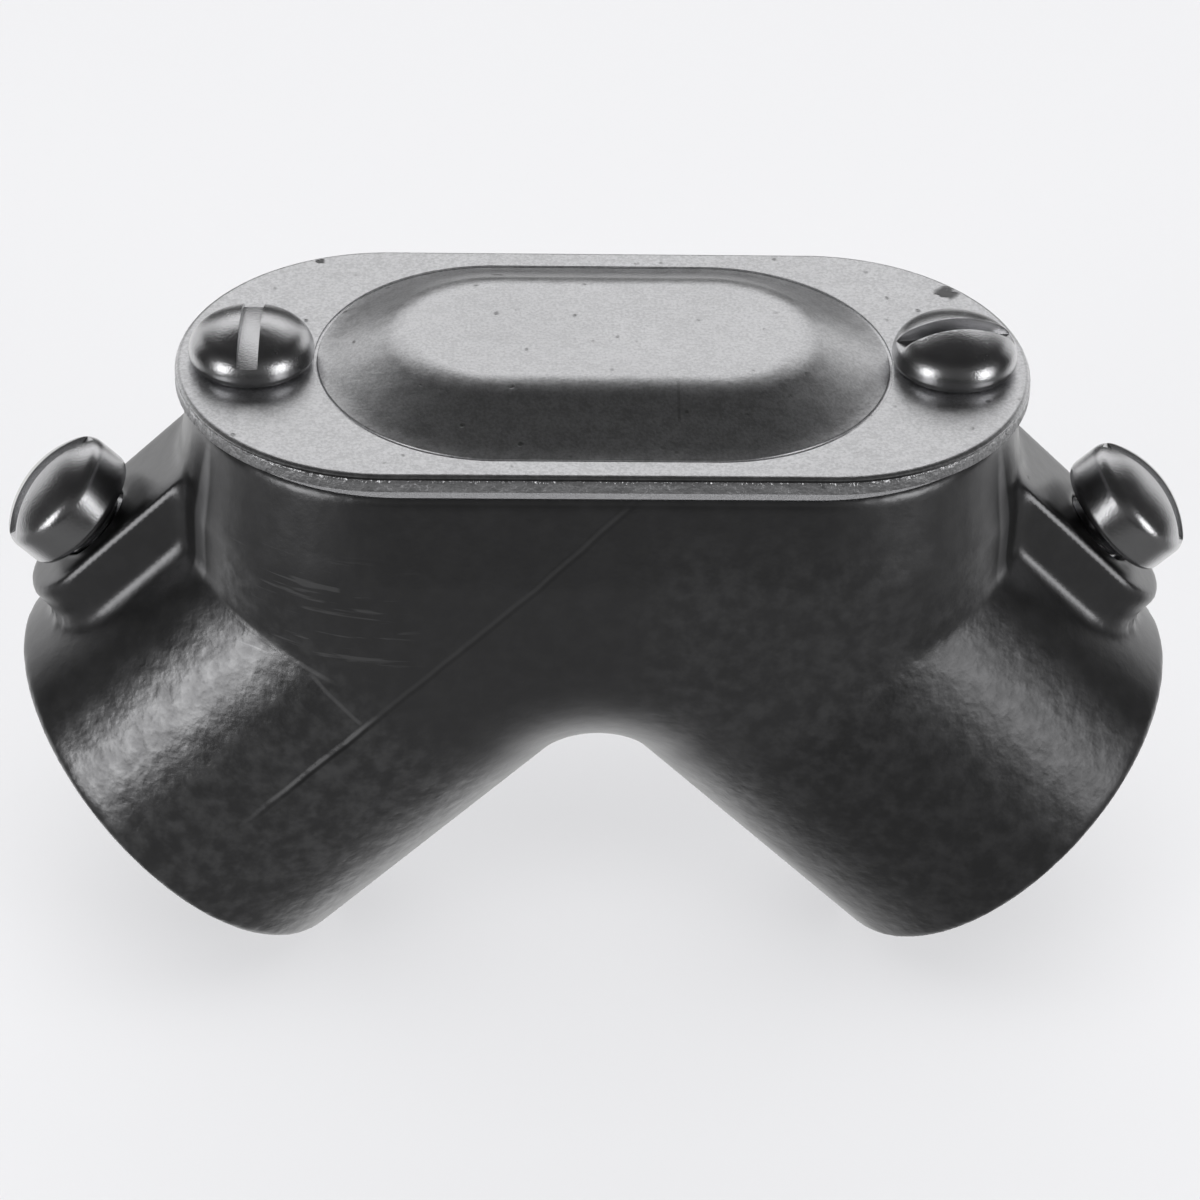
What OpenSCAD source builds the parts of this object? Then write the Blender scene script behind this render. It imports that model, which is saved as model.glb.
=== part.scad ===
// Conduit pull elbow, 90 degrees, for half inch thin-wall tube.
// A die-cast body joins two sockets under a screwed cover. One set screw holds the tube in each socket.
// Millimetres. The two mouths' lowest points rest on z = 0, with the cover on top and x = 0 between the hubs.

/* [Hubs] */
// Inside diameter of the socket that takes the tube
socket_d = 18.4; // [17.6:0.1:19.4]
// Wall of each hub round its socket
hub_wall = 2.8; // [2.4:0.1:3.2]
// Depth of each socket down to its stop
socket_depth = 19.2; // [17:0.1:22]
// From the crossing of the two hub axes out to each stop
stop_distance = 13.2; // [12.6:0.1:14.5]
// How far each stop stands in from its socket's wall
stop_ledge = 1.3; // [1:0.1:2]
// Straight run of the wire passage between each stop and the bend
throat_run = 1.7; // [1.2:0.1:2.2]
// Rounding of each mouth's outer edge
mouth_round = 0.5; // [0.2:0.1:0.8]
// Lead-in chamfer at each socket
mouth_lead = 0.6; // [0.3:0.1:0.9]
// Rounding of the inside corner between the hubs
crotch_round = 2.5; // [1.5:0.1:3.5]

/* [Housing] */
// Room between each end of the housing and the set screw's head beyond it
set_head_room = 2.57; // [2:0.01:3]
// Wall along each side of the opening under the cover
housing_wall = 2.54; // [2.3:0.01:3]
// Metal round each cover screw's hole, towards the opening and towards the housing's end
lug_wall = 2.3; // [2:0.1:2.6]
// How far each side of the housing lies inside the hub's widest line
housing_inset = 0.06; // [0.05:0.01:0.1]
// Height of the rim above the crossing of the hub axes
rim_height = 2.15; // [1.8:0.05:2.4]
// How far the housing's walls lean in at the rim
housing_lean = 0.75; // [0.6:0.05:0.9]
// How far below the crossing the walls start to lean in
lean_depth = 3; // [2:0.5:5]
// Rounding of the rim's outer edge
rim_round = 0.3; // [0.1:0.1:0.5]
// How deep the housing's wall sinks into the hubs
housing_sink = 2; // [1:0.1:3]

/* [Set screw bosses] */
// From each mouth back to its set screw
set_screw_setback = 8.4; // [7.5:0.1:9]
// Width of the boss at its top
boss_width = 7.2; // [6.6:0.1:8]
// Height of the boss above the hub
boss_height = 2.3; // [1.8:0.1:2.8]
// How much wider each side of the boss is at its foot
boss_draft = 0.15; // [0.05:0.05:0.3]
// Rounding of the boss's top edge
boss_round = 0.5; // [0.2:0.1:0.8]
// From the set screw to the middle of the boss's round end
boss_tail = 1.6; // [1:0.1:2]
// Fillet along the foot of the boss
boss_fillet = 0.8; // [0.4:0.1:1.2]

/* [Gasket and cover] */
// Thickness of the gasket
gasket_t = 0.35; // [0.25:0.05:0.5]
// How far the gasket stays inside the rim's edge
gasket_inset = 0.1; // [0.05:0.05:0.3]
// How far each end of the cover stays inside the housing's widest line
cover_end_ledge = 0.1; // [0.05:0.05:0.4]
// How far each side of the cover stays inside the housing's widest line
cover_side_ledge = 0.8; // [0.5:0.1:1]
// Thickness of the cover plate
cover_t = 0.92; // [0.8:0.01:1.2]
// Rounding of the cover's top edge
cover_round = 0.35; // [0.2:0.05:0.5]
// From each side of the cover in to the raised panel's foot
panel_margin = 1.74; // [1.4:0.01:2.2]
// Gap between the raised panel's foot and the cover screws' heads
panel_head_gap = 0.1; // [0.05:0.05:0.5]
// Height of the raised panel above the plate
panel_height = 1.9; // [1.5:0.1:2.4]
// Width of the low band round the panel's foot
panel_band = 0.9; // [0.6:0.1:1.2]
// Height of the low band at its inner edge
panel_band_height = 0.25; // [0.15:0.05:0.4]
// Width of the slope between the band and the flat top
panel_slope = 3.3; // [2.6:0.1:3.8]
// Rounding of the panel's shoulder
panel_round = 1.8; // [1:0.1:2.4]

/* [Cover screws] */
// Outside diameter of the cover screw's thread
cover_screw_d = 3.5; // [3:0.1:3.8]
// Length of the cover screw under its head
cover_screw_length = 6.4; // [5.4:0.1:7]
// Diameter of the cover screw's head
cover_head_d = 6.6; // [6:0.1:6.9]
// Height of the widest line of the cover screw's head
cover_head_edge = 0.9; // [0.7:0.1:1.1]
// Height of the dome on the cover screw's head
cover_head_dome = 1.55; // [1.3:0.05:1.8]
// Turn of the left cover screw's slot
left_slot_turn = 88; // [0:1:180]
// Turn of the right cover screw's slot
right_slot_turn = 8; // [0:1:180]

/* [Set screws] */
// Outside diameter of the set screw's thread
set_screw_d = 4.17; // [3.8:0.01:4.4]
// Gap between the boss and the head of a loose set screw
set_screw_gap = 0.7; // [0.65:0.05:1]
// How far a loose set screw's tip stays back from the socket's wall
set_tip_setback = 0.2; // [0.1:0.05:0.4]
// Diameter of the set screw's head
set_head_d = 7.1; // [6.6:0.1:7.4]
// Height of the straight side of the set screw's head
set_head_edge = 2.1; // [1.7:0.1:2.4]
// Height of the dome on the set screw's head
set_head_dome = 1.6; // [1.3:0.1:1.8]
// Turn of the set screws' slots from the hub's length
set_slot_turn = -30; // [-90:1:90]

/* [Slots and clearances] */
// Rounding under each screw's head
head_under = 0.5; // [0.3:0.1:0.6]
// Width of a screwdriver slot
slot_width = 1.1; // [0.8:0.1:1.4]
// Depth of a screwdriver slot
slot_depth = 1.2; // [0.8:0.1:1.5]
// Chamfer at a screw's tip
tip_chamfer = 0.4; // [0.2:0.1:0.6]
// Clearance all round a thread in its tapped hole
thread_clearance = 0.06; // [0.04:0.01:0.1]
// Clearance all round a screw where it passes through the cover and gasket
pass_clearance = 0.25; // [0.15:0.05:0.35]
// Depth of a cover screw's hole past the screw's tip
drill_allowance = 1; // [0.6:0.1:1.2]

/* [Hidden] */
$fn = 96;
cast_grey = [0.36, 0.36, 0.37];
cover_grey = [0.72, 0.72, 0.71];
gasket_grey = [0.13, 0.13, 0.14];
steel = [0.83, 0.84, 0.85];
// Steps in a small rounding, and in a large one
small_steps = 6;
large_steps = 10;
// How far a cutting tool passes the face that it cuts
overshoot = 1;
// How deep a fillet's foot sinks into the surface that it meets
fillet_sink = 0.03;
// How far a hub runs over the bend, and how much thinner the bend is, so that they join cleanly
join_overlap = 0.1;
bend_inset = 0.03;
// Larger than the whole part
reach = 80;
socket_r = socket_d / 2;
hub_r = socket_r + hub_wall;
throat_r = socket_r - stop_ledge;
hub_length = stop_distance + socket_depth;
hub_bend = hub_r + crotch_round;
throat_bend = stop_distance - throat_run;
set_screw_place = hub_length - set_screw_setback;
housing_r = hub_r - housing_inset;
boss_top = hub_r + boss_height;
housing_length = 2 * (sqrt(0.5) * (set_screw_place - set_head_d / 2 + boss_top + set_screw_gap) - set_head_room);
housing_depth = housing_length / 2 - housing_r + housing_sink;
rim_r = housing_r - housing_lean;
cover_hole_r = cover_screw_d / 2 + thread_clearance;
cover_screw_x = housing_length / 2 - lug_wall - cover_hole_r;
opening_length = 2 * (cover_screw_x - cover_hole_r - lug_wall);
opening_width = 2 * (housing_r - housing_wall);
cover_length = housing_length - 2 * cover_end_ledge;
cover_width = 2 * (housing_r - cover_side_ledge);
panel_length = 2 * (cover_screw_x - cover_head_d / 2 - panel_head_gap);
panel_width = cover_width - 2 * panel_margin;
set_screw_length = boss_top + set_screw_gap - socket_r - set_tip_setback;
// The boss starts inside the housing's end wall, under the rim
boss_start = boss_top - rim_height * sqrt(2) + boss_round;
gasket_z = rim_height;
cover_z = gasket_z + gasket_t;
cover_top = cover_z + cover_t;
// Height of the crossing over the lowest points of the rounded mouths
crossing_z = (hub_length + hub_r - mouth_round * (2 - sqrt(2))) * sqrt(0.5);

// Points on an arc about the centre c, from angle a0 to angle a1
function arc(c, r, a0, a1, steps) =
    [for (i = [0:steps]) c + r * [cos(a0 + (a1 - a0) * i / steps), sin(a0 + (a1 - a0) * i / steps)]];

// Points of a shallow dome, from its edge at radius r up to its top on the axis
function dome(r, z, height, steps) =
    let (big = (r * r + height * height) / (2 * height), spread = asin(r / big))
    arc([0, z + height - big], big, 90 - spread, 90, steps);

module at_crossing() {
    translate([0, 0, crossing_z]) children();
}

// Runs +Z out of a hub's mouth, with +X up and outward, on the side of the set screw
module in_hub(side) {
    at_crossing()
    mirror([side < 0 ? 1 : 0, 0, 0])
    rotate([0, 135, 0])
    rotate([0, 0, 180])
    children();
}

// Runs +Z out along a set screw, with z = 0 on the hub's axis and -X towards the mouth
module at_set_screw(side) {
    in_hub(side) translate([0, 0, set_screw_place]) rotate([0, 90, 0]) children();
}

// Sweeps a half outline round one end and along the straight run behind it
module end_sweep(run) {
    rotate([0, 0, 90]) rotate_extrude(angle = 180) children();
    rotate([90, 0, 90])
    linear_extrude(height = run) {
        children();
        mirror([1, 0]) children();
    }
}

// Sweeps a half outline round a slot-shaped path
module slot_sweep(length, width) {
    straight = (length - width) / 2;
    for (end = [0, 1]) mirror([end, 0, 0]) translate([-straight, 0, 0]) end_sweep(straight) children();
}

module slot_shape(length, width) {
    straight = length - width;
    square([straight, width], center = true);
    for (end = [-1, 1]) translate([end * straight / 2, 0]) circle(d = width);
}

// A tube's solid core round the bend between the two hubs
module bend(bend_r, r) {
    at_crossing()
    translate([0, 0, -bend_r * sqrt(2)])
    rotate([90, 0, 0])
    rotate([0, 0, 45])
    rotate_extrude(angle = 90)
    translate([bend_r, 0])
    circle(r = r - bend_inset);
}

// Everything below the middle line of the bend and the hubs
module below_path(bend_r) {
    tangent = bend_r * sqrt(0.5);
    at_crossing()
    rotate([90, 0, 0])
    linear_extrude(height = reach, center = true) {
        polygon([[0, -2 * tangent], [-tangent, -tangent], [-reach, -reach], [reach, -reach], [tangent, -tangent]]);
        translate([0, -2 * tangent]) circle(r = bend_r);
    }
}

module hub(side) {
    corner = [hub_r - mouth_round, hub_length - mouth_round];
    start = hub_bend - join_overlap;
    in_hub(side)
    rotate_extrude()
    polygon(concat([[0, start], [hub_r, start]], arc(corner, mouth_round, 0, 90, small_steps), [[0, hub_length]]));
}

module housing() {
    corner = [rim_r - rim_round, rim_height - rim_round];
    difference() {
        at_crossing()
        slot_sweep(housing_length, 2 * housing_r)
        polygon(concat([[0, -housing_depth], [housing_r, -housing_depth], [housing_r, -lean_depth]],
            arc(corner, rim_round, 0, 90, small_steps), [[0, rim_height]]));
        below_path(hub_bend);
    }
}

module boss(side) {
    foot = boss_width / 2 + boss_draft;
    fillet_x = foot + boss_fillet;
    fillet_reach = hub_r + boss_fillet - fillet_sink;
    fillet_z = sqrt(fillet_reach * fillet_reach - fillet_x * fillet_x);
    fillet_end = 180 + atan2(fillet_z, fillet_x);
    ending = arc([fillet_x, fillet_z], boss_fillet, fillet_end, 180, small_steps);
    corner = [boss_width / 2 - boss_round, boss_top - boss_round];
    at_set_screw(side)
    translate([-boss_tail, 0, 0])
    end_sweep(set_screw_place + boss_tail - boss_start)
    polygon(concat([[0, socket_r], [ending[0].x, socket_r]], ending, arc(corner, boss_round, 0, 90, small_steps),
        [[0, boss_top]]));
}

module outside() {
    difference() {
        bend(hub_bend, hub_r);
        at_crossing() translate([-reach / 2, -reach / 2, rim_height / 2]) cube([reach, reach, reach]);
    }
    housing();
    for (side = [-1, 1]) {
        hub(side);
        boss(side);
    }
}

// Sockets, wire passage and the opening under the cover
module passages() {
    for (side = [-1, 1]) {
        in_hub(side) {
            translate([0, 0, stop_distance]) cylinder(r = socket_r, h = socket_depth + overshoot);
            translate([0, 0, hub_length - mouth_lead])
            cylinder(r1 = socket_r, r2 = socket_r + mouth_lead + overshoot, h = mouth_lead + overshoot);
            translate([0, 0, throat_bend - join_overlap])
            cylinder(r = throat_r, h = throat_run + join_overlap + overshoot);
        }
    }
    bend(throat_bend, throat_r);
    difference() {
        at_crossing()
        translate([0, 0, -housing_depth])
        linear_extrude(height = housing_depth + rim_height + overshoot)
        slot_shape(opening_length, opening_width);
        below_path(throat_bend);
    }
}

module tapped_holes() {
    hole_depth = cover_screw_length - gasket_t - cover_t + drill_allowance;
    for (side = [-1, 1]) {
        at_set_screw(side)
        cylinder(d = set_screw_d + 2 * thread_clearance, h = boss_top + overshoot);
        at_crossing()
        translate([side * cover_screw_x, 0, rim_height - hole_depth])
        cylinder(r = cover_hole_r, h = hole_depth + overshoot);
    }
}

// Holes through the gasket and the cover for the cover screws
module screw_passes(t) {
    for (side = [-1, 1])
        translate([side * cover_screw_x, 0, -overshoot])
        cylinder(d = cover_screw_d + 2 * pass_clearance, h = t + 2 * overshoot);
}

module body() {
    color(cast_grey)
    difference() {
        outside();
        passages();
        tapped_holes();
    }
}

module gasket() {
    color(gasket_grey)
    at_crossing()
    translate([0, 0, gasket_z])
    difference() {
        linear_extrude(height = gasket_t)
        difference() {
            slot_shape(housing_length - 2 * housing_lean - 2 * gasket_inset, 2 * (rim_r - gasket_inset));
            slot_shape(opening_length, opening_width);
        }
        screw_passes(gasket_t);
    }
}

// Half outline of the raised panel, from its foot up to its middle, shrunk inward by inset
function panel_outline(inset) =
    let (
        half = panel_width / 2 - inset,
        band_end = half - panel_band,
        top_edge = band_end - panel_slope,
        slope = atan2(panel_height - panel_band_height, panel_slope),
        trim = panel_round * tan(slope / 2)
    )
    concat([[half, 0], [band_end, panel_band_height]],
        arc([top_edge - trim, panel_height - panel_round], panel_round, 90 - slope, 90, large_steps),
        [[0, panel_height]]);

module cover() {
    corner = [cover_width / 2 - cover_round, cover_t - cover_round];
    hollow_inset = cover_t / 2;
    color(cover_grey)
    at_crossing()
    translate([0, 0, cover_z])
    difference() {
        union() {
            slot_sweep(cover_length, cover_width)
            polygon(concat([[0, 0], [cover_width / 2, 0]], arc(corner, cover_round, 0, 90, small_steps), [[0, cover_t]]));
            slot_sweep(panel_length, panel_width)
            translate([0, cover_t])
            polygon(concat([[0, -cover_t / 2], [panel_width / 2, -cover_t / 2]], panel_outline(0)));
        }
        slot_sweep(panel_length - 2 * hollow_inset, panel_width - 2 * hollow_inset)
        polygon(concat([[0, -overshoot], [panel_width / 2 - hollow_inset, -overshoot]], panel_outline(hollow_inset)));
        screw_passes(cover_t);
    }
}

// A slotted round-edged screw with its head on z = 0 and its thread below
module slotted_screw(d, length, head_d, edge, dome_height, turn) {
    r = d / 2;
    color(steel)
    difference() {
        rotate_extrude()
        polygon(concat([[0, -length], [r - tip_chamfer, -length], [r, tip_chamfer - length], [r, 0]],
            arc([head_d / 2 - head_under, head_under], head_under, -90, 0, small_steps),
            dome(head_d / 2, edge, dome_height, large_steps)));
        rotate([0, 0, turn])
        translate([-head_d, -slot_width / 2, edge + dome_height - slot_depth])
        cube([2 * head_d, slot_width, slot_depth + overshoot]);
    }
}

module cover_screw(side, turn) {
    at_crossing()
    translate([side * cover_screw_x, 0, cover_top])
    slotted_screw(cover_screw_d, cover_screw_length, cover_head_d, cover_head_edge, cover_head_dome, turn);
}

module set_screw(side) {
    at_set_screw(side)
    translate([0, 0, boss_top + set_screw_gap])
    slotted_screw(set_screw_d, set_screw_length, set_head_d, set_head_edge, set_head_dome, set_slot_turn);
}

module cover_screw_left() {
    cover_screw(-1, left_slot_turn);
}

module cover_screw_right() {
    cover_screw(1, right_slot_turn);
}

module set_screw_left() {
    set_screw(-1);
}

module set_screw_right() {
    set_screw(1);
}

body();
gasket();
cover();
cover_screw_left();
cover_screw_right();
set_screw_left();
set_screw_right();
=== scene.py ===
"""The cast conduit pull elbow with its gasketed cover, on a pale floor, in metres and in the CAD frame."""
import math

import bpy
from mathutils import Matrix, Vector


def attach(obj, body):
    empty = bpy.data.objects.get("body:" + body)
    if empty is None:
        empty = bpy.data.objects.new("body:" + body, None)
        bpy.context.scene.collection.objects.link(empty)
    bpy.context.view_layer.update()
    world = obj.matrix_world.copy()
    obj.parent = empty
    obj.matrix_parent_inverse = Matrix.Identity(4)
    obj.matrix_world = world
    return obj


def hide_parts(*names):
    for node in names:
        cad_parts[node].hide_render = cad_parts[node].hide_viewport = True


MM = 0.001

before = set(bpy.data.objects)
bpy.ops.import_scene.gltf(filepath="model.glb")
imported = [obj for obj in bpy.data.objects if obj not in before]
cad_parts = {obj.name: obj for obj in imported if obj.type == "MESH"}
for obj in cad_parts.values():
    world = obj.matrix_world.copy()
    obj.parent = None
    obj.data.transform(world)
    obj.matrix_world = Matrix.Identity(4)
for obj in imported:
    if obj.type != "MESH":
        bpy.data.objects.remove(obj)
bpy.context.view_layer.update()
bpy.ops.object.select_all(action="DESELECT")


# Sizes of the source, in millimetres
CROSSING_Z = 31.188
COVER_BOTTOM = CROSSING_Z + 2.5
COVER_T = 0.92
COVER_TOP = COVER_BOTTOM + COVER_T
COVER_ROUND = 0.35
COVER_LENGTH = 44.8
COVER_WIDTH = 22.28
PANEL_LENGTH = 29.98
PANEL_WIDTH = 18.8
PANEL_HEIGHT = 1.9
PANEL_BAND = 0.9
PANEL_BAND_HEIGHT = 0.25
PANEL_SLOPE = 3.3
COVER_SCREW_X = 18.39
SET_SCREW_PLACE = 24.0
COVER_HOLE_R = 2.0
SLOT_WIDTH = 1.1
SLOT_DEPTH = 1.2

# Sizes that only this script has, or that it has a little differently, in millimetres
PANEL_ROUND = 3.6
GROOVE_WIDTH = 0.18
GROOVE_DEPTH = 0.1
COVER_EDGE = 0.06
SET_HEAD_SEAT = 14.92
SCREW_EDGE = 0.07
THREAD_PITCH = 0.8
THREAD_DEPTH = 0.35

# Flat at a thread's root and at its crest, as a share of the pitch
THREAD_FLAT = 0.12

# How far the forms that are joined or cut away reach past the surface, in millimetres
PANEL_SINK = 0.6
GROOVE_CUT = 0.5
SLOT_CUT = 3

# Each kind of screw in millimetres; soft is the rounding under the head, the height of its side
# and the rounding of its shoulder
COVER_SCREW = {"shank": 3.5, "length": 6.4, "head": 6.6, "top": 2.435, "soft": (0.5, 0.5, 1.5)}
SET_SCREW = {"shank": 4.17, "length": 5.6, "head": 7.1, "top": 3.56, "soft": (0.5, 1.8, 0.9)}

# Radius of the fillets in the body's inner corners, and the grain of the mesh that gives them
FILLET = 0.4
FILLET_GRAIN = 0.28

# Points closer than this, in metres, are one
WELD = 0.000001

# The photograph's camera: lengths in millimetres, angles in degrees, the rest in pixels
CAMERA_AIM = (0.19, 0, 19.24)
CAMERA_DISTANCE = 230
CAMERA_AZIMUTH = -2.59
CAMERA_HEIGHT = 35.33
CAMERA_ROLL = 1.79
CAMERA_REACH = 4224
PICTURE_WIDTH = 1200
SENSOR_WIDTH = 36

# The soft boxes: lengths in metres
BOX_DISTANCE = 0.5
BOX_WIDTH = 0.2
BOX_TALL = 0.26
BOX_RADIANCE = 2.8

# In the body's marks: the sine of the hubs' slope, and the height where their axes cross
HUB_SLOPE = 0.7071
MARK_CROSSING = 31.19


class Value:
    """A socket in the material maths: an expression on values adds the Math nodes for it."""

    def __init__(self, recipe, socket):
        self.recipe = recipe
        self.socket = socket

    def maths(self, operation, *terms):
        return self.recipe.node("ShaderNodeMath", {"operation": operation}, dict(enumerate(terms)))

    def __add__(self, other):
        return self.maths("ADD", self, other)

    def __radd__(self, other):
        return self.maths("ADD", other, self)

    def __sub__(self, other):
        return self.maths("SUBTRACT", self, other)

    def __rsub__(self, other):
        return self.maths("SUBTRACT", other, self)

    def __mul__(self, other):
        return self.maths("MULTIPLY", self, other)

    def __rmul__(self, other):
        return self.maths("MULTIPLY", other, self)

    def size(self):
        return self.maths("ABSOLUTE", self)

    def most(self, other):
        return self.maths("MAXIMUM", self, other)

    def least(self, other):
        return self.maths("MINIMUM", self, other)

    def step(self, low, high):
        """Rises smoothly from 0 at low to 1 at high; high under low makes it fall."""
        if low > high:
            return 1 - self.step(high, low)
        sockets = {"Value": self, "From Min": low, "From Max": high}
        return self.recipe.node("ShaderNodeMapRange", {"interpolation_type": "SMOOTHSTEP"}, sockets)

    def out(self, name):
        """Another output of the same node."""
        return Value(self.recipe, self.socket.node.outputs[name])


class Recipe:
    """Builds one node tree, for a material or for the world."""

    def __init__(self, tree):
        self.tree = tree
        self.tree.nodes.clear()

    def node(self, kind, settings=None, sockets=None):
        """Adds a node: its settings first, then the value or link of each socket named."""
        made = self.tree.nodes.new(kind)
        for name, setting in (settings or {}).items():
            setattr(made, name, setting)
        for name, value in (sockets or {}).items():
            if isinstance(value, Value):
                self.tree.links.new(value.socket, made.inputs[name])
            else:
                made.inputs[name].default_value = value
        return Value(self, made.outputs[0]) if made.outputs else None

    def place(self, spread=(1, 1, 1), turn=(0, 0, 0)):
        """Object coordinates in millimetres, spread and turned by a Mapping node."""
        where = self.node("ShaderNodeTexCoord").out("Object")
        scale = tuple(1000 * part for part in spread)
        return self.node("ShaderNodeMapping", {}, {"Vector": where, "Scale": scale, "Rotation": turn})

    def noise(self, where, scale, detail=4.0, rough=0.5, warp=0.0):
        sockets = {"Vector": where, "Scale": scale, "Detail": detail, "Roughness": rough}
        sockets["Distortion"] = warp
        return self.node("ShaderNodeTexNoise", {}, sockets)

    def cells(self, where, scale):
        """How far the nearest of many scattered points is."""
        return self.node("ShaderNodeTexVoronoi", {}, {"Vector": where, "Scale": scale})

    def grey(self, amount):
        return self.node("ShaderNodeCombineColor", {}, {"Red": amount, "Green": amount, "Blue": amount})

    def blend(self, amount, low, high):
        """A mix of two colours."""
        made = self.tree.nodes.new("ShaderNodeMix")
        made.data_type = "RGBA"
        for socket, value in ((made.inputs[0], amount), (made.inputs[6], low), (made.inputs[7], high)):
            if isinstance(value, Value):
                self.tree.links.new(value.socket, socket)
            else:
                socket.default_value = value
        return Value(self, made.outputs[2])

    def bump(self, height, reach):
        """Relief of so many millimetres."""
        return self.node("ShaderNodeBump", {}, {"Height": height, "Distance": reach * MM})


def finish_of(name, mix):
    """A material whose Principled sockets come from mix, a function of its recipe."""
    material = bpy.data.materials.new(name)
    material.use_nodes = True
    recipe = Recipe(material.node_tree)
    surface = recipe.node("ShaderNodeBsdfPrincipled", {}, mix(recipe))
    recipe.node("ShaderNodeOutputMaterial", {}, {"Surface": surface})
    return material


def grey(amount):
    """A metal's grey, a trace towards blue."""
    return (amount, amount, amount * 1.02, 1)


def near(x, y, spot_x, spot_y, reach):
    """1 at a spot, falling to 0 at its reach."""
    away = (x - spot_x) * (x - spot_x) + (y - spot_y) * (y - spot_y)
    return away.step(reach * reach, reach * reach / 4)


def cast_mix(recipe):
    """Dark satin casting, blotched where it was left as cast, with its seam, handling scratches, painted
    highlights along the seam and the hub's edges, and a painted shade line beside the seam.
    """
    skin = recipe.place()
    apart = recipe.node("ShaderNodeSeparateXYZ", {}, {"Vector": skin})
    x, y, z = apart.out("X"), apart.out("Y"), apart.out("Z")
    front = y.step(-7, -9)
    cloud = recipe.noise(skin, 0.16, 5, 0.6, 0.4)
    mottle = recipe.noise(skin, 0.75, 5, 0.6)
    peel = recipe.noise(skin, 1.3, 2, 0.5)
    grain = recipe.noise(skin, 5.0, 3, 0.6)
    across = (x - z + 32.0) * HUB_SLOPE
    along = (x + z - MARK_CROSSING) * -HUB_SLOPE
    run = along.step(-3, -1) * along.step(27, 21) * front
    wander = (recipe.noise(skin, 0.5, 2) - 0.5) * 0.15
    seam_lower_end = along.step(15.5, 18)
    # The seam: a raised ridge, painted lighter along it as a painted highlight, strongest towards its
    # lower end, where chipped flecks are painted brighter still; beside it runs a painted shade line,
    # painted darker
    ridge = (across + wander).size().step(0.2, 0.02) * run
    shade = (across + wander - 0.24).size().step(0.18, 0.02) * run
    chipped = ridge * seam_lower_end * mottle.step(0.4, 0.5)
    strokes_at = recipe.place((0.22, 0.22, 2.4), (0, math.radians(-10), 0))
    stroked = (x + 14.5).size().step(5.5, 3.0) * (z - 26).size().step(4.2, 2.5) * front
    strokes = recipe.noise(strokes_at, 1.0, 3, 0.55, 0.3).step(0.58, 0.66) * stroked
    rough_patch = (x - 9).size().step(9, 4) * (z - 24).size().step(9, 4) * front
    down_hub = (x.size() - z + MARK_CROSSING) * HUB_SLOPE
    as_cast = down_hub.step(14, 18) * y.size().step(6.5, 8)
    # The right hub's as-cast part, darker and rougher
    right_hub_darker_rougher = as_cast * x.step(4, 12)
    # Painted highlights: lighter lines along the crease where the left hub meets the housing, and across
    # the left hub's front where it meets the body
    crease = (z - 16.28 + x.size() * -0.414).size().step(0.2, 0.04)
    crease = crease * x.step(-13.5, -15) * z.step(26.5, 25)
    collar = (along - 17.0 + wander).size().step(0.18, 0.03)
    collar = collar * across.step(-4.2, -3.4) * across.step(0, -0.4)
    painted_edge_highlights = (crease + collar).least(1) * front
    # Lighter along the upright lines where the bosses meet the housing ends
    lighter_junction = near(x.size(), y.size(), 21.0, 5.7, 0.75) * z.step(24.5, 25.5)
    blotch = (mottle * 0.6 + peel * 0.4).step(0.38, 0.68)
    paler = (blotch * (0.1 + 0.55 * as_cast + 0.3 * rough_patch) + cloud * 0.15).least(1)
    # Painted lighter: the scratches, the seam's painted highlight and its flecks, the painted highlight
    # lines at the hub's edges and the lighter junction lines
    marks_and_highlights = (ridge * (0.12 + 0.3 * seam_lower_end) + chipped * 0.8 + strokes * 0.3).least(1)
    marks_and_highlights = marks_and_highlights.most(painted_edge_highlights * 0.4).most(lighter_junction * 0.8)
    plain = recipe.blend(right_hub_darker_rougher * 0.5, recipe.blend(paler, grey(0.16), grey(0.36)), grey(0.08))
    # Then painted darker along the seam's painted shade line
    base = recipe.blend(shade * (0.25 + 0.4 * seam_lower_end), recipe.blend(marks_and_highlights, plain, grey(0.6)), grey(0.06))
    rough = 0.25 + 0.12 * mottle + 0.06 * cloud + 0.08 * right_hub_darker_rougher
    relief = grain * 0.08 + peel * (0.15 + 0.55 * as_cast + 0.3 * rough_patch)
    relief = relief + mottle * 0.3 + ridge * (0.2 + 0.4 * seam_lower_end)
    return {"Base Color": base, "Metallic": 1.0, "Roughness": rough, "Normal": recipe.bump(relief, 0.06)}


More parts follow.
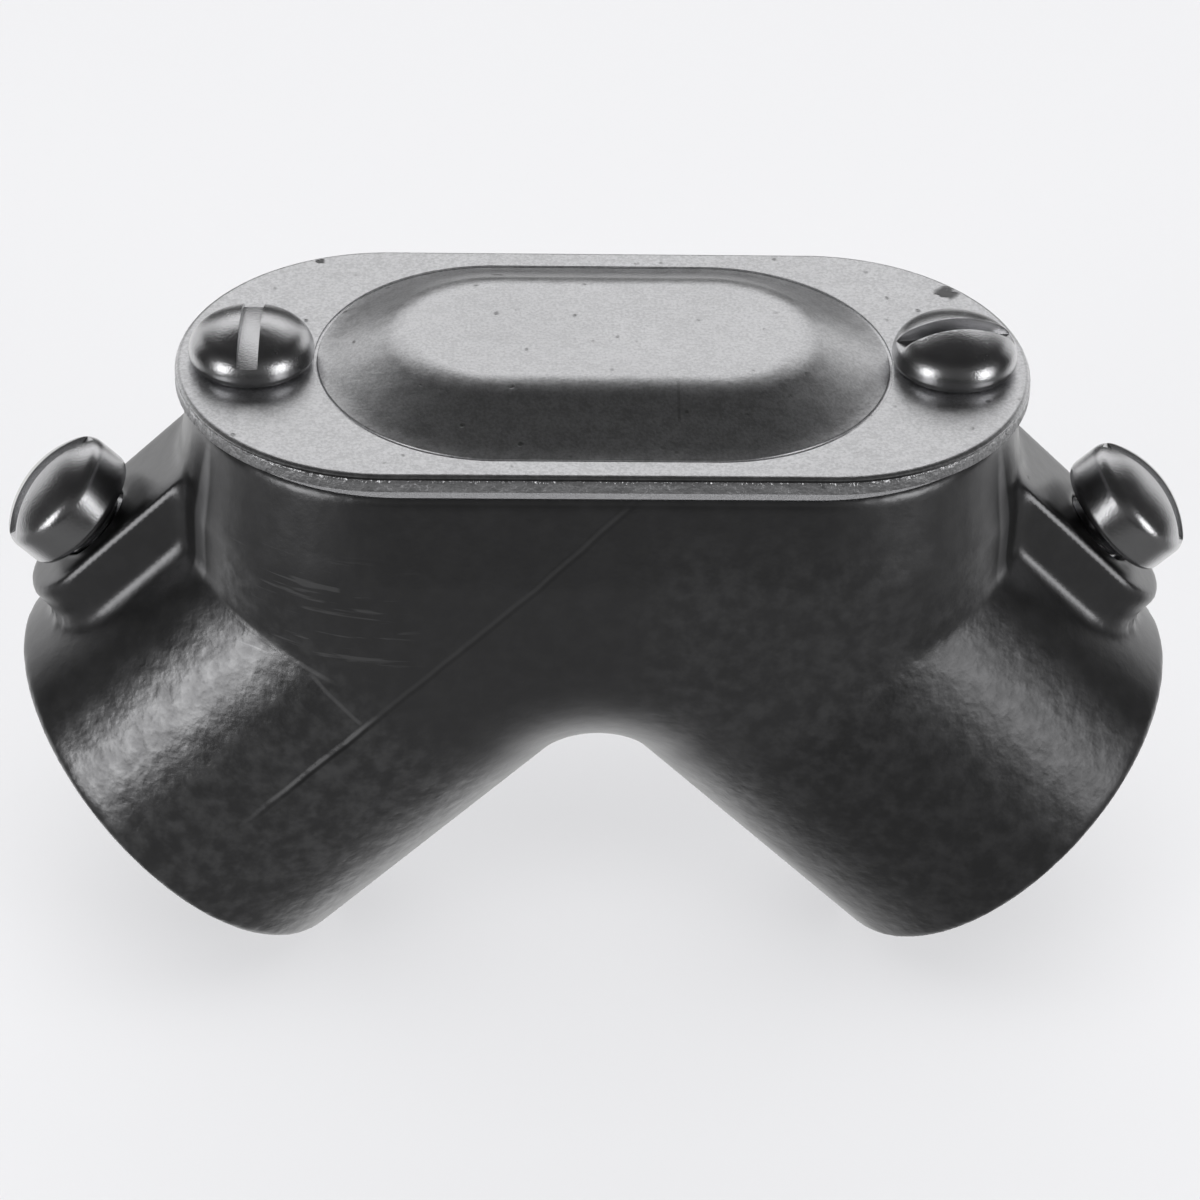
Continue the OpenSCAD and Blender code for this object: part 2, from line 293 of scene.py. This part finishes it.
def cover_mix(recipe):
    """Pale satin skin with specks and small pits, a few knocks, and a ragged, chipped edge."""
    skin = recipe.place()
    apart = recipe.node("ShaderNodeSeparateXYZ", {}, {"Vector": skin})
    x, y, z = apart.out("X"), apart.out("Y"), apart.out("Z")
    cloud = recipe.noise(skin, 0.2, 4, 0.55)
    mottle = recipe.noise(skin, 1.3, 5, 0.6)
    grain = recipe.noise(skin, 6.0, 3, 0.6)
    chips = recipe.noise(skin, 1.4, 3, 0.6)
    warp = (chips - 0.5) * 1.2
    knocks = near(x + warp, y + warp, 18.7, 7.1, 0.75) + near(x, y + warp, -15.1, 9.8, 0.3)
    knocks = knocks + near(x + warp, y + warp, -5.5, 6.6, 0.45)
    scratch = (x - 3.6).size().step(0.12, 0.03) * (y + 6).size().step(1.3, 1.0)
    pits = recipe.cells(skin, 0.8).step(0.16, 0.06) * recipe.noise(skin, 0.7).step(0.48, 0.58)
    pits = (pits * 0.55 + knocks + scratch * 0.25).least(1)
    edge = z.step(COVER_TOP - 0.12, COVER_TOP - 0.22)
    rim = z.step(COVER_TOP - 0.3, COVER_TOP - 0.45)
    specks = (grain * 0.6 + mottle * 0.4).step(0.62, 0.38)
    base = recipe.blend(pits, recipe.blend(specks, grey(0.74), grey(0.56)), grey(0.12))
    base = recipe.blend(edge * 0.3, base, grey(0.5))
    rough = 0.27 + 0.12 * mottle + 0.06 * cloud + 0.25 * rim
    relief = grain * 0.2 + mottle * 0.45 - pits * 0.8 + chips * edge * 9.0
    return {"Base Color": base, "Metallic": 1.0, "Roughness": rough, "Normal": recipe.bump(relief, 0.04)}


def gasket_mix(recipe):
    """Pale fibre sheet."""
    skin = recipe.place()
    fibres = recipe.noise(skin, 4.0, 5, 0.7, 1.5)
    base = recipe.blend(fibres, grey(0.22), grey(0.42))
    return {"Base Color": base, "Roughness": 0.75 + 0.15 * fibres, "Normal": recipe.bump(fibres, 0.05)}


def plated_mix(recipe):
    """Bright zinc plate on the screws."""
    skin = recipe.place()
    cloud = recipe.noise(skin, 0.6, 3, 0.5)
    fine = recipe.noise(skin, 7.0, 4, 0.6)
    base = recipe.blend(cloud, grey(0.45), grey(0.62))
    return {"Base Color": base, "Metallic": 1.0, "Roughness": 0.17 + 0.1 * cloud + 0.06 * fine,
            "Normal": recipe.bump(fine, 0.012)}


def floor_mix(recipe):
    return {"Base Color": grey(0.8), "Roughness": 0.9}


# Modelling helpers

def pick_all(piece):
    """Makes one piece the only one selected, and the active one."""
    if bpy.context.mode != "OBJECT":
        bpy.ops.object.mode_set(mode="OBJECT")
    bpy.ops.object.select_all(action="DESELECT")
    piece.select_set(True)
    bpy.context.view_layer.objects.active = piece


def edit(piece, kind):
    """Goes to edit mode with all of the piece selected, as VERT or as FACE."""
    pick_all(piece)
    bpy.ops.object.mode_set(mode="EDIT")
    bpy.ops.mesh.select_mode(type=kind)
    bpy.ops.mesh.select_all(action="SELECT")


def draw_up(height):
    """Extrudes the selected face upwards, in millimetres."""
    bpy.ops.mesh.extrude_region_move(TRANSFORM_OT_translate={"value": (0, 0, height * MM)})


def face_outward():
    """Points all normals outward, and leaves edit mode."""
    bpy.ops.mesh.select_all(action="SELECT")
    bpy.ops.mesh.normals_make_consistent(inside=False)
    bpy.ops.object.mode_set(mode="OBJECT")


def set_mesh(piece, name):
    piece.name = name
    piece.data.name = name


def settle(piece):
    """Puts the object's place into its mesh."""
    pick_all(piece)
    bpy.ops.object.transform_apply(location=True, rotation=True, scale=True)


def modifier(piece, kind, **settings):
    """Adds a modifier to the piece and applies it."""
    pick_all(piece)
    added = piece.modifiers.new(kind.title(), kind)
    for name, value in settings.items():
        setattr(added, name, value)
    bpy.ops.object.modifier_apply(modifier=added.name)


def smooth(piece, angle):
    """Smooth shading, sharp where faces meet at more than the angle in degrees."""
    pick_all(piece)
    bpy.ops.object.shade_smooth_by_angle(angle=math.radians(angle))


def wear(piece, material, body, node):
    """Gives a piece its finish, the body it rides on and the CAD node it stands for."""
    piece.data.materials.clear()
    piece.data.materials.append(material)
    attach(piece, body)
    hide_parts(node)


def copy_of_node(node, name):
    """A merged copy of a CAD node's mesh, as a new piece."""
    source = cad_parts[node]
    piece = bpy.data.objects.new(name, source.data.copy())
    bpy.context.scene.collection.objects.link(piece)
    piece.matrix_world = source.matrix_world.copy()
    set_mesh(piece, name)
    edit(piece, "VERT")
    bpy.ops.mesh.remove_doubles(threshold=WELD)
    bpy.ops.object.mode_set(mode="OBJECT")
    return piece


def cast_body():
    """The body with a die casting's soft corners, and fillets where its forms meet."""
    piece = copy_of_node("body", "cast_body")
    for reach in (FILLET, -FILLET):
        modifier(piece, "REMESH", mode="VOXEL", voxel_size=FILLET_GRAIN * MM)
        modifier(piece, "DISPLACE", strength=reach * MM, mid_level=0)
    modifier(piece, "SMOOTH", factor=0.5, iterations=3)
    modifier(piece, "DECIMATE", ratio=0.5)
    smooth(piece, 50)
    return piece


def stadium(name, length, width, z, segments=96):
    """A flat slot-shaped face, from a circle whose halves are moved apart."""
    bpy.ops.mesh.primitive_circle_add(vertices=segments, radius=width / 2 * MM, fill_type="NGON",
                                      location=(0, 0, z * MM), rotation=(0, 0, math.pi / segments))
    piece = bpy.context.object
    set_mesh(piece, name)
    settle(piece)
    shift = (length - width) / 2 * MM
    for side in (-1, 1):
        pick_all(piece)
        bpy.ops.object.mode_set(mode="EDIT")
        bpy.ops.mesh.select_mode(type="VERT")
        bpy.ops.mesh.select_all(action="DESELECT")
        bpy.ops.object.mode_set(mode="OBJECT")
        for vertex in piece.data.vertices:
            vertex.select = vertex.co.x * side > 0
        bpy.ops.object.mode_set(mode="EDIT")
        bpy.ops.transform.translate(value=(side * shift, 0, 0))
        bpy.ops.object.mode_set(mode="OBJECT")
    return piece


def steps_in(rings):
    """Insets the selected face ring by ring, each by (inward, up) in millimetres."""
    for inward, up in rings:
        bpy.ops.mesh.inset(thickness=inward * MM, depth=up * MM, use_even_offset=True, use_boundary=True)


def corner_rings(radius, start, end, steps):
    """(inward, up) steps round a corner, from slope start to slope end in degrees, 90 upright."""
    rings = []
    turn = math.radians((end - start) / steps)
    angle = math.radians(start) + turn / 2
    chord = 2 * radius * math.sin(abs(turn) / 2)
    for _ in range(steps):
        rings.append((chord * math.cos(angle), chord * math.sin(angle)))
        angle += turn
    return rings


def panel_form(name, low, inset):
    """The raised panel as a closed form on the plate, or its hollow, smaller all round by inset."""
    piece = stadium(name, PANEL_LENGTH - 2 * inset, PANEL_WIDTH - 2 * inset, low)
    slope = math.atan2(PANEL_HEIGHT - PANEL_BAND_HEIGHT, PANEL_SLOPE)
    run = PANEL_SLOPE - PANEL_ROUND * math.tan(slope / 2) * math.cos(slope)
    edit(piece, "FACE")
    draw_up(PANEL_SINK)
    steps_in([(PANEL_BAND, PANEL_BAND_HEIGHT), (run, run * math.tan(slope))])
    steps_in(corner_rings(PANEL_ROUND, math.degrees(slope), 0, 8))
    face_outward()
    return piece


def foot_groove():
    """What the fine groove round the panel's foot takes out of the plate."""
    wider = 2 * GROOVE_WIDTH
    piece = stadium("groove", PANEL_LENGTH + wider, PANEL_WIDTH + wider, COVER_TOP - GROOVE_DEPTH)
    edit(piece, "FACE")
    draw_up(GROOVE_CUT)
    face_outward()
    return piece


def combine(piece, other, operation):
    """Adds the other closed form to the piece, or cuts it away."""
    modifier(piece, "BOOLEAN", operation=operation, solver="EXACT", object=other)
    bpy.data.objects.remove(other)


def soften(piece, width, angle):
    """Bevels the edges that are sharper than the angle in degrees."""
    modifier(piece, "BEVEL", width=width * MM, segments=2, limit_method="ANGLE",
             angle_limit=math.radians(angle))


def cover_casting():
    """The cover plate with its raised, hollow panel and the holes for its two screws."""
    piece = stadium("cover_casting", COVER_LENGTH, COVER_WIDTH, COVER_BOTTOM)
    edit(piece, "FACE")
    draw_up(COVER_T - COVER_ROUND)
    steps_in(corner_rings(COVER_ROUND, 90, 0, 6))
    face_outward()
    combine(piece, foot_groove(), "DIFFERENCE")
    combine(piece, panel_form("panel", COVER_TOP - PANEL_SINK, 0), "UNION")
    combine(piece, panel_form("hollow", COVER_BOTTOM - PANEL_SINK, COVER_T / 2), "DIFFERENCE")
    drill(piece)
    soften(piece, COVER_EDGE, 40)
    smooth(piece, 35)
    modifier(piece, "WEIGHTED_NORMAL", mode="FACE_AREA", weight=100, keep_sharp=True)
    return piece


def drill(piece):
    """The holes for the two cover screws."""
    for side in (-1, 1):
        bpy.ops.object.select_all(action="DESELECT")
        bpy.ops.mesh.primitive_cylinder_add(vertices=48, radius=COVER_HOLE_R * MM, depth=0.008,
                                            location=(side * COVER_SCREW_X * MM, 0, COVER_TOP * MM))
        cutter = bpy.context.object
        settle(cutter)
        combine(piece, cutter, "DIFFERENCE")


def lathe(name, profile, segments=64):
    """A turned piece: a circle drawn out ring by ring along (radius, height) in millimetres."""
    radius, height = profile[0]
    bpy.ops.object.select_all(action="DESELECT")
    bpy.ops.mesh.primitive_circle_add(vertices=segments, radius=radius * MM, fill_type="NGON",
                                      location=(0, 0, height * MM))
    piece = bpy.context.object
    set_mesh(piece, name)
    settle(piece)
    edit(piece, "FACE")
    for next_radius, next_height in profile[1:]:
        draw_up(next_height - height)
        grow = next_radius / radius
        bpy.ops.transform.resize(value=(grow, grow, 1), center_override=(0, 0, next_height * MM))
        radius, height = next_radius, next_height
    face_outward()
    return piece


def thread(name, outer, length):
    """A rod with a real helical thread, from just above z = 0 down, a profile wound up turn by turn."""
    pitch = THREAD_PITCH
    turns = math.ceil(length / pitch) + 2
    bpy.ops.object.select_all(action="DESELECT")
    bpy.ops.mesh.primitive_plane_add(size=0.001)
    piece = bpy.context.object
    set_mesh(piece, name)
    root = outer - THREAD_DEPTH
    flat = pitch * THREAD_FLAT
    crest = (pitch / 2 - flat / 2, pitch / 2 + flat / 2)
    outline = [(root, 0), (root, flat), (outer, crest[0]), (outer, crest[1]), (root, pitch)]
    edit(piece, "VERT")
    bpy.ops.mesh.merge(type="CENTER")
    bpy.ops.transform.translate(value=(root * MM, 0, -(turns - 1) * pitch * MM))
    for (x, z), (next_x, next_z) in zip(outline, outline[1:]):
        bpy.ops.mesh.extrude_vertices_move(
            TRANSFORM_OT_translate={"value": ((next_x - x) * MM, 0, (next_z - z) * MM)})
    bpy.ops.object.mode_set(mode="OBJECT")
    modifier(piece, "SCREW", axis="Z", angle=2 * math.pi, screw_offset=pitch * MM, iterations=turns,
             steps=32, render_steps=32, use_merge_vertices=True, merge_threshold=WELD)
    edit(piece, "VERT")
    bpy.ops.mesh.remove_doubles(threshold=WELD)
    bpy.ops.mesh.bisect(plane_co=(0, 0, 0.1 * MM), plane_no=(0, 0, 1), clear_outer=True, use_fill=True)
    bpy.ops.mesh.select_all(action="SELECT")
    bpy.ops.mesh.bisect(plane_co=(0, 0, -length * MM), plane_no=(0, 0, 1), clear_inner=True,
                        use_fill=True)
    face_outward()
    return piece


def cut_slot(piece, head, top, turn):
    """A driver slot across the head."""
    bpy.ops.object.select_all(action="DESELECT")
    bpy.ops.mesh.primitive_cube_add(size=1, location=(0, 0, (top - SLOT_DEPTH + SLOT_CUT / 2) * MM),
                                    rotation=(0, 0, math.radians(turn)))
    cutter = bpy.context.object
    cutter.scale = (2 * head * MM, SLOT_WIDTH * MM, SLOT_CUT * MM)
    settle(cutter)
    combine(piece, cutter, "DIFFERENCE")


def join(piece, other):
    """Takes the other piece's mesh into the piece."""
    pick_all(piece)
    other.select_set(True)
    bpy.ops.object.join()


def arc_points(centre, radius, start, end, steps):
    """Points round an arc, angles in degrees from the first axis."""
    points = []
    for number in range(steps + 1):
        angle = math.radians(start + (end - start) * number / steps)
        points.append((centre[0] + radius * math.cos(angle), centre[1] + radius * math.sin(angle)))
    return points


def head_profile(head, top, under, side, shoulder):
    """(radius, height) from under a pan head round its two soft corners and over its dome."""
    # The dome's sphere touches the shoulder's round and passes through the top
    radius = head / 2
    inner, rise = radius - shoulder, top - side
    sphere = (inner * inner + rise * rise - shoulder * shoulder) / (2 * (rise - shoulder))
    low = top - sphere
    meet = math.degrees(math.atan2(side - low, inner))
    rings = arc_points((radius - under, under), under, -90, 0, 6)
    rings += arc_points((inner, side + 0.001), shoulder, 0, meet, 10)
    return rings + arc_points((0, low), sphere, meet, 89.6, 14)[1:]


def screw(name, turn, shank, length, head, top, soft):
    """A slotted pan-head screw, head seat on z = 0, its slot turned by so many degrees."""
    piece = lathe(name, head_profile(head, top, *soft))
    cut_slot(piece, head, top, turn)
    soften(piece, SCREW_EDGE, 35)
    join(piece, thread(name + "_thread", shank / 2, length))
    smooth(piece, 32)
    return piece


def place(piece, matrix):
    """Moves a piece's mesh to its place."""
    piece.matrix_world = matrix
    settle(piece)


def cover_screw_at(side):
    """The frame of a cover screw, upright on the cover."""
    return Matrix.Translation((side * COVER_SCREW_X * MM, 0, COVER_TOP * MM))


def set_screw_at(side):
    """The frame of a set screw: z out along it, y to the back."""
    lean = math.sqrt(0.5)
    out = Vector((side * lean, 0, lean))
    mouth = Vector((side * lean, 0, -lean))
    back = Vector((0, 1, 0))
    seat = Vector((0, 0, CROSSING_Z)) + mouth * SET_SCREW_PLACE + out * SET_HEAD_SEAT
    turned = Matrix((back.cross(out), back, out)).transposed().to_4x4()
    return Matrix.Translation(seat * MM) @ turned


# The view and the light

def outward(azimuth, height):
    """The direction at two angles in radians, azimuth 0 being the front."""
    level = math.cos(height)
    return Vector((math.sin(azimuth) * level, -math.cos(azimuth) * level, math.sin(height)))


def camera():
    """The photograph's camera."""
    aim = Vector(CAMERA_AIM) * MM
    azimuth = math.radians(CAMERA_AZIMUTH)
    roll = math.radians(CAMERA_ROLL)
    back = outward(azimuth, math.radians(CAMERA_HEIGHT))
    level = Vector((math.cos(azimuth), math.sin(azimuth), 0))
    upward = back.cross(level)
    right = level * math.cos(roll) + upward * math.sin(roll)
    top = upward * math.cos(roll) - level * math.sin(roll)
    lens = bpy.data.cameras.new("camera")
    lens.sensor_fit = "HORIZONTAL"
    lens.sensor_width = SENSOR_WIDTH
    lens.lens = SENSOR_WIDTH * CAMERA_REACH / PICTURE_WIDTH
    lens.clip_start = 0.005
    eye = bpy.data.objects.new("camera", lens)
    turned = Matrix((right, top, back)).transposed().to_4x4()
    eye.matrix_world = Matrix.Translation(aim + back * CAMERA_DISTANCE * MM) @ turned
    bpy.context.scene.collection.objects.link(eye)
    bpy.context.scene.camera = eye


def soft_light(name, azimuth, height):
    """A soft box that faces the elbow from a direction in degrees, azimuth 0 being the front."""
    out = outward(math.radians(azimuth), math.radians(height))
    light = bpy.data.lights.new(name, "AREA")
    light.shape = "RECTANGLE"
    light.size = BOX_WIDTH
    light.size_y = BOX_TALL
    light.energy = BOX_RADIANCE * math.pi * BOX_WIDTH * BOX_TALL
    lamp = bpy.data.objects.new(name, light)
    lamp.location = Vector((0, 0, 0.02)) + out * BOX_DISTANCE
    lamp.rotation_euler = out.to_track_quat("Z", "Y").to_euler()
    bpy.context.scene.collection.objects.link(lamp)


def lay_floor():
    """The pale floor, which the metal doesn't mirror."""
    bpy.ops.object.select_all(action="DESELECT")
    bpy.ops.mesh.primitive_grid_add(x_subdivisions=8, y_subdivisions=8, size=4, location=(0, 0, -0.00002))
    floor = bpy.context.object
    set_mesh(floor, "floor")
    floor.data.materials.append(finish_of("floor_paper", floor_mix))
    floor.visible_glossy = False


def overhead_fill():
    """An even light from above, without shadows or mirror images."""
    sun = bpy.data.lights.new("overhead_fill", "SUN")
    sun.energy = 2.9
    sun.angle = math.radians(60)
    lamp = bpy.data.objects.new("overhead_fill", sun)
    lamp.rotation_euler = (math.radians(10), 0, 0)
    lamp.visible_glossy = False
    sun.use_shadow = False
    bpy.context.scene.collection.objects.link(lamp)


def mirrored_room():
    """The dim room that the metal mirrors, and the pale ground that the camera sees."""
    world = bpy.data.worlds.new("room")
    bpy.context.scene.world = world
    world.use_nodes = True
    recipe = Recipe(world.node_tree)
    direction = recipe.node("ShaderNodeTexCoord").out("Generated")
    apart = recipe.node("ShaderNodeSeparateXYZ", {}, {"Vector": direction})
    x, y, z = apart.out("X"), apart.out("Y"), apart.out("Z")
    facing = y.step(0.3, 0.6)
    backdrop = facing * x.size().step(0.55, 0.3) * z.step(0.25, 0.4) * z.step(0.76, 0.64)
    low_glow = facing * x.size().step(0.32, 0.46) * z.step(0.55, 0.3)
    pale_floor = z.step(-0.05, -0.3) * (0.13 + 0.8 * y.step(-0.1, 0.45) * (1 - low_glow))
    ahead = y.step(0, -0.4) * z.step(0, 0.2) * z.step(0.9, 0.6)
    room = 0.035 + backdrop * 1.2 + low_glow * 0.85 + pale_floor + ahead * 0.06
    seen = recipe.node("ShaderNodeLightPath").out("Is Camera Ray")
    shade = room * (1 - seen) + 0.85 * seen
    light = recipe.node("ShaderNodeBackground", {}, {"Color": recipe.grey(shade), "Strength": 1.0})
    recipe.node("ShaderNodeOutputWorld", {}, {"Surface": light})
    bpy.context.scene.view_settings.view_transform = "Standard"


camera()
lay_floor()
soft_light("left_soft_box", -52, 13)
soft_light("right_soft_box", 53, 13)
overhead_fill()
mirrored_room()

cast_metal = finish_of("cast_metal", cast_mix)
cover_metal = finish_of("cover_metal", cover_mix)
gasket_fibre = finish_of("gasket_fibre", gasket_mix)
zinc_plate = finish_of("zinc_plate", plated_mix)

wear(cast_body(), cast_metal, "elbow", "body")
wear(cover_casting(), cover_metal, "access_cover", "cover")

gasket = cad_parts["gasket"]
for slot in gasket.material_slots:
    slot.material = gasket_fibre

for side, label, turn in ((-1, "left", 88), (1, "right", 8)):
    piece = screw(label + "_cover_screw", turn, **COVER_SCREW)
    place(piece, cover_screw_at(side))
    wear(piece, zinc_plate, label + "_cover_screw", "cover_screw_" + label)
    piece = screw(label + "_set_screw", -30 * side, **SET_SCREW)
    place(piece, set_screw_at(side))
    wear(piece, zinc_plate, label + "_set_screw", "set_screw_" + label)
